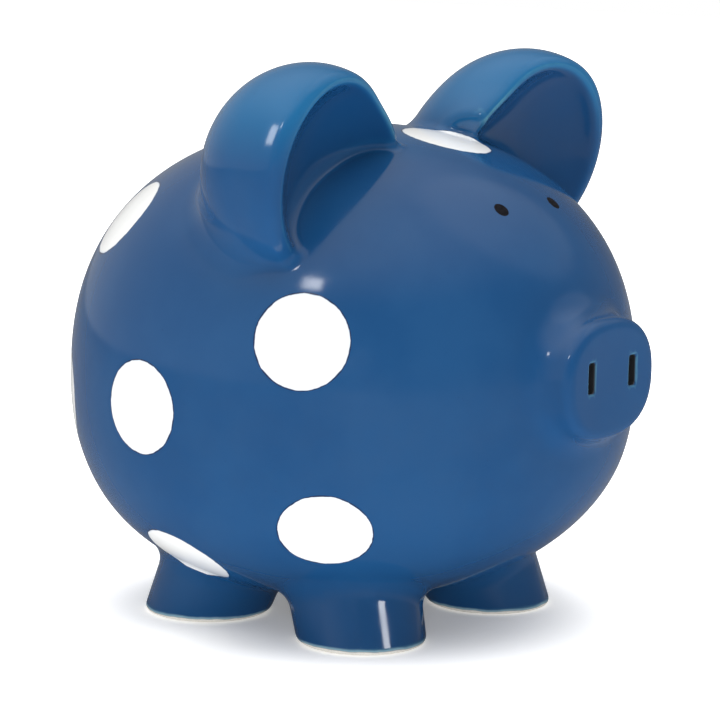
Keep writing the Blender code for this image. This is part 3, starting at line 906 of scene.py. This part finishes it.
def cut_raised(rest):
    """The torso and the pieces luted onto it, each with its node and slot."""
    core = body_solid("core", -SKIN)
    cavity = body_solid("cavity", -WALL)
    solids = raised_regions()
    regions = [combine(name, solid, "DIFFERENCE", core) for name, (solid, centre) in solids.items()]
    seams = join("seams", regions)
    raised = combine("raised", rest, "INTERSECT", seams)
    torso = combine("torso_shell_glaze", rest, "DIFFERENCE", cavity, seams)
    finish_surface(raised, glaze_field)
    finish_surface(torso, glaze_field, lambda p: body_field(p, -WALL))
    found = split(raised, {name: centre for name, (solid, centre) in solids.items()})
    discard([core, cavity, *regions, seams, raised, *(solid for solid, centre in solids.values())])
    pieces = [(torso, "torso_shell", "blue_glaze")]
    pieces += [(piece, name, "blue_glaze") for name, piece in found.items()]
    return pieces


def make_bank(finishes):
    """Every glazed piece, from one mesh cut along the luting lines."""
    whole = field_object("whole", WHOLE_BOX, VOXEL, glaze_field, REFINEMENTS)
    inlays, rest = cut_inlays(whole)
    for piece, node, slot in inlays + cut_raised(rest):
        piece.data.materials.clear()
        piece.data.materials.append(finishes[slot])
        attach(piece, "bank")
        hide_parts(node)
    discard([whole, rest])


# ---------------------------------------------------------------- the stopper

FLANGE_RADIUS = 23.0 * MM
FLANGE_BOTTOM = 6.1 * MM
FLANGE_TOP = 9.1 * MM
FLANGE_EDGE = 1.6 * MM
PLUG_RADII = (18.2 * MM, 17.2 * MM)
PLUG_TOP = 21.1 * MM
PLUG_EDGE = 2.4 * MM
PLUG_FILLET = 0.8 * MM
RECESS_RADIUS = 13.0 * MM
RECESS_TOP = 11.1 * MM
RECESS_CORNER = 1.6 * MM
BAR_HALF = 2.5 * MM
BAR_CORNER = 1.2 * MM
GROOVE_RADIUS = 0.86 * FLANGE_RADIUS
GROOVE_HALF = 0.5 * MM
STOPPER_BOX = ((-24.5, -24.5, 5.0), (24.5, 24.5, 22.5))
STOPPER_VOXEL = 0.6 * MM


def stopper_field(p):
    """A rubber plug: a flange under the belly, a tapered plug, and a recess crossed by a pull bar."""
    ring = np.hypot(p[:, 0], p[:, 1])
    z = p[:, 2]
    flange = smooth_max(ring - FLANGE_RADIUS, FLANGE_BOTTOM - z, FLANGE_EDGE)
    flange = smooth_max(flange, z - FLANGE_TOP, MM)
    taper = between(PLUG_RADII, (z - FLANGE_TOP) / (PLUG_TOP - FLANGE_TOP))
    plug = smooth_max(ring - taper, z - PLUG_TOP, PLUG_EDGE)
    plug = smooth_max(plug, FLANGE_BOTTOM + MM - z, MM)
    field = smooth_min(flange, plug, PLUG_FILLET)
    pocket = smooth_max(ring - RECESS_RADIUS, z - RECESS_TOP, RECESS_CORNER)
    pocket = smooth_max(pocket, BAR_HALF - np.abs(p[:, 1]), BAR_CORNER)
    field = smooth_max(field, -pocket, MM)
    groove = np.hypot(ring - GROOVE_RADIUS, z - FLANGE_BOTTOM) - GROOVE_HALF
    return smooth_max(field, -groove, GROOVE_HALF)


def make_stopper(rubber):
    piece = field_object("stopper_plug", STOPPER_BOX, STOPPER_VOXEL, stopper_field)
    finish_surface(piece, stopper_field)
    piece.data.materials.append(rubber)
    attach(piece, "stopper")
    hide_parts("stopper")


# ---------------------------------------------------------------- stage, light and camera

CAMERA_PLACE = np.array((-837.37, -637.03, 259.35)) * MM
CAMERA_BEARING = -52.866
CAMERA_RISE = 9.223
CAMERA_ROLL = 1.015
CAMERA_LENS = 151.17
CAMERA_CLIPS = (0.01, 50.0)

# The floor glows, least under the object, so that its shadow shows. The glaze mirrors it dimmer.
FLOOR_REACH = 4.0
FLOOR_PALE = (0.900, 0.900, 0.900)
FLOOR_PALER = (0.915, 0.915, 0.915)
FLOOR_MIRRORED = (0.150, 0.150, 0.155)
FLOOR_NEAR = (0.04, 0.13)
FLOOR_NEAR_GLOW = (0.22, 0.80)
FLOOR_FAR = (0.13, 0.50)
FLOOR_FAR_GLOW = 0.20
FLOOR_GLOW_MIRRORED = 0.12

# The room that the glaze mirrors: strengths, bearings and rises, and how far each part reaches, as
# cosines of the angle to it.
ROOM_PALE_SIDE = (-150.0, 10.0)
ROOM_WALLS = (0.18, 0.52)
ROOM_WALLS_REACH = (-0.2, 0.9)
ROOM_CEILING = 0.56
ROOM_CEILING_REACH = (0.5, 0.95)
ROOM_WINDOW_PLACE = (66.0, 46.0)
ROOM_WINDOW = 0.22
ROOM_WINDOW_REACH = (0.89, 0.94)


def make_floor():
    bm = bmesh.new()
    bmesh.ops.create_grid(bm, x_segments=8, y_segments=8, size=FLOOR_REACH)
    floor = object_from("floor", bm)
    finish = Finish("pale_floor", Roughness=0.9, Specular_IOR_Level=0.0)
    mirrored = finish.node("LightPath").outputs["Is Glossy Ray"]
    grain = finish.ramp(finish.noise(60.0 * MM, 3.0), 0.3, 0.7)
    colour = finish.mix(mirrored, finish.mix(grain, FLOOR_PALE, FLOOR_PALER), FLOOR_MIRRORED)
    glow = finish.ramp(finish.distance(), *FLOOR_NEAR, *FLOOR_NEAR_GLOW)
    glow = finish.maths("ADD", glow, finish.ramp(finish.distance(), *FLOOR_FAR, 0.0, FLOOR_FAR_GLOW))
    glow = finish.maths("MULTIPLY", glow, finish.ramp(mirrored, 0.0, 1.0, 1.0, FLOOR_GLOW_MIRRORED))
    floor.data.materials.append(finish.complete(Base_Color=colour, Emission_Color=(1.0, 1.0, 1.0, 1.0),
                                                Emission_Strength=glow))


def make_world():
    """White to the camera. The glaze mirrors a dim room, paler behind the pig's right side and above."""
    world = bpy.data.worlds.new("studio")
    bpy.context.scene.world = world
    world.use_nodes = True
    room = Nodes(world.node_tree, "Generated")
    shade = room.ramp(room.along(direction(*ROOM_PALE_SIDE)), *ROOM_WALLS_REACH, *ROOM_WALLS)
    shade = room.maths("ADD", shade, room.ramp(room.height(), *ROOM_CEILING_REACH, 0.0, ROOM_CEILING))
    window = room.ramp(room.along(direction(*ROOM_WINDOW_PLACE)), *ROOM_WINDOW_REACH, 0.0, ROOM_WINDOW)
    shade = room.maths("ADD", shade, window)
    seen = room.node("LightPath").outputs["Is Camera Ray"]
    background = room.tree.nodes["Background"]
    room.set(background.inputs["Color"], (1.0, 1.0, 1.0, 1.0))
    room.set(background.inputs["Strength"], room.blend(seen, shade, 1.0))


def make_light(name, bearing, rise, distance, size, energy, mirrored, only=()):
    """A panel that faces the body's centre. A mirrored one gives only its highlight, in all the
    glaze or only in some pieces, and the others only light the object."""
    data = bpy.data.lights.new(name, "AREA")
    data.shape = "RECTANGLE"
    data.size, data.size_y = size
    data.energy = energy
    light = link(bpy.data.objects.new(name, data))
    ray = Vector(direction(bearing, rise))
    light.location = ray * distance + Vector((0.0, 0.0, BODY_CENTRE_Z))
    light.rotation_euler = ray.to_track_quat("Z", "Y").to_euler()
    light.visible_glossy = mirrored
    light.visible_diffuse = not mirrored
    if only:
        receivers = bpy.data.collections.new(name)
        for piece in only:
            receivers.objects.link(bpy.data.objects[piece])
        light.light_linking.receiver_collection = receivers


def make_lights():
    make_light("top_panel", bearing=0.0, rise=88.0, distance=1.7, size=(1.8, 1.8), energy=26.0,
               mirrored=False)
    make_light("front_panel", bearing=CAMERA_BEARING, rise=8.0, distance=2.2, size=(0.5, 0.4), energy=12.5,
               mirrored=False)
    make_light("side_lamp", bearing=-73.5, rise=44.0, distance=1.5, size=(0.17, 0.15), energy=1.0,
               mirrored=True)
    make_light("leg_lamp", bearing=-6.5, rise=14.0, distance=1.03, size=(0.19, 0.24), energy=1.7,
               mirrored=True, only=("leg_front_right_glaze",))
    make_light("ear_lamp", bearing=-103.5, rise=35.0, distance=1.5, size=(0.40, 0.50), energy=5.5,
               mirrored=True, only=("ear_right_glaze",))


def make_camera():
    data = bpy.data.cameras.new("camera")
    data.sensor_width = 36.0
    data.lens = CAMERA_LENS
    data.clip_start, data.clip_end = CAMERA_CLIPS
    camera = link(bpy.data.objects.new("camera", data))
    b = math.radians(CAMERA_BEARING)
    back = Vector(direction(CAMERA_BEARING, CAMERA_RISE))
    right = Vector((math.cos(b), math.sin(b), 0.0))
    up = back.cross(right)
    roll = math.radians(CAMERA_ROLL)
    right, up = (right * math.cos(roll) + up * math.sin(roll), up * math.cos(roll) - right * math.sin(roll))
    camera.matrix_world = Matrix.Translation(CAMERA_PLACE) @ Matrix((right, up, back)).transposed().to_4x4()
    bpy.context.scene.camera = camera


make_camera()
make_world()
make_floor()
make_bank({"blue_glaze": make_blue_glaze(), "white_glaze": make_white_glaze(),
           "black_glaze": make_black_glaze()})
make_stopper(make_rubber())
make_lights()
bpy.context.scene.view_settings.view_transform = "Standard"
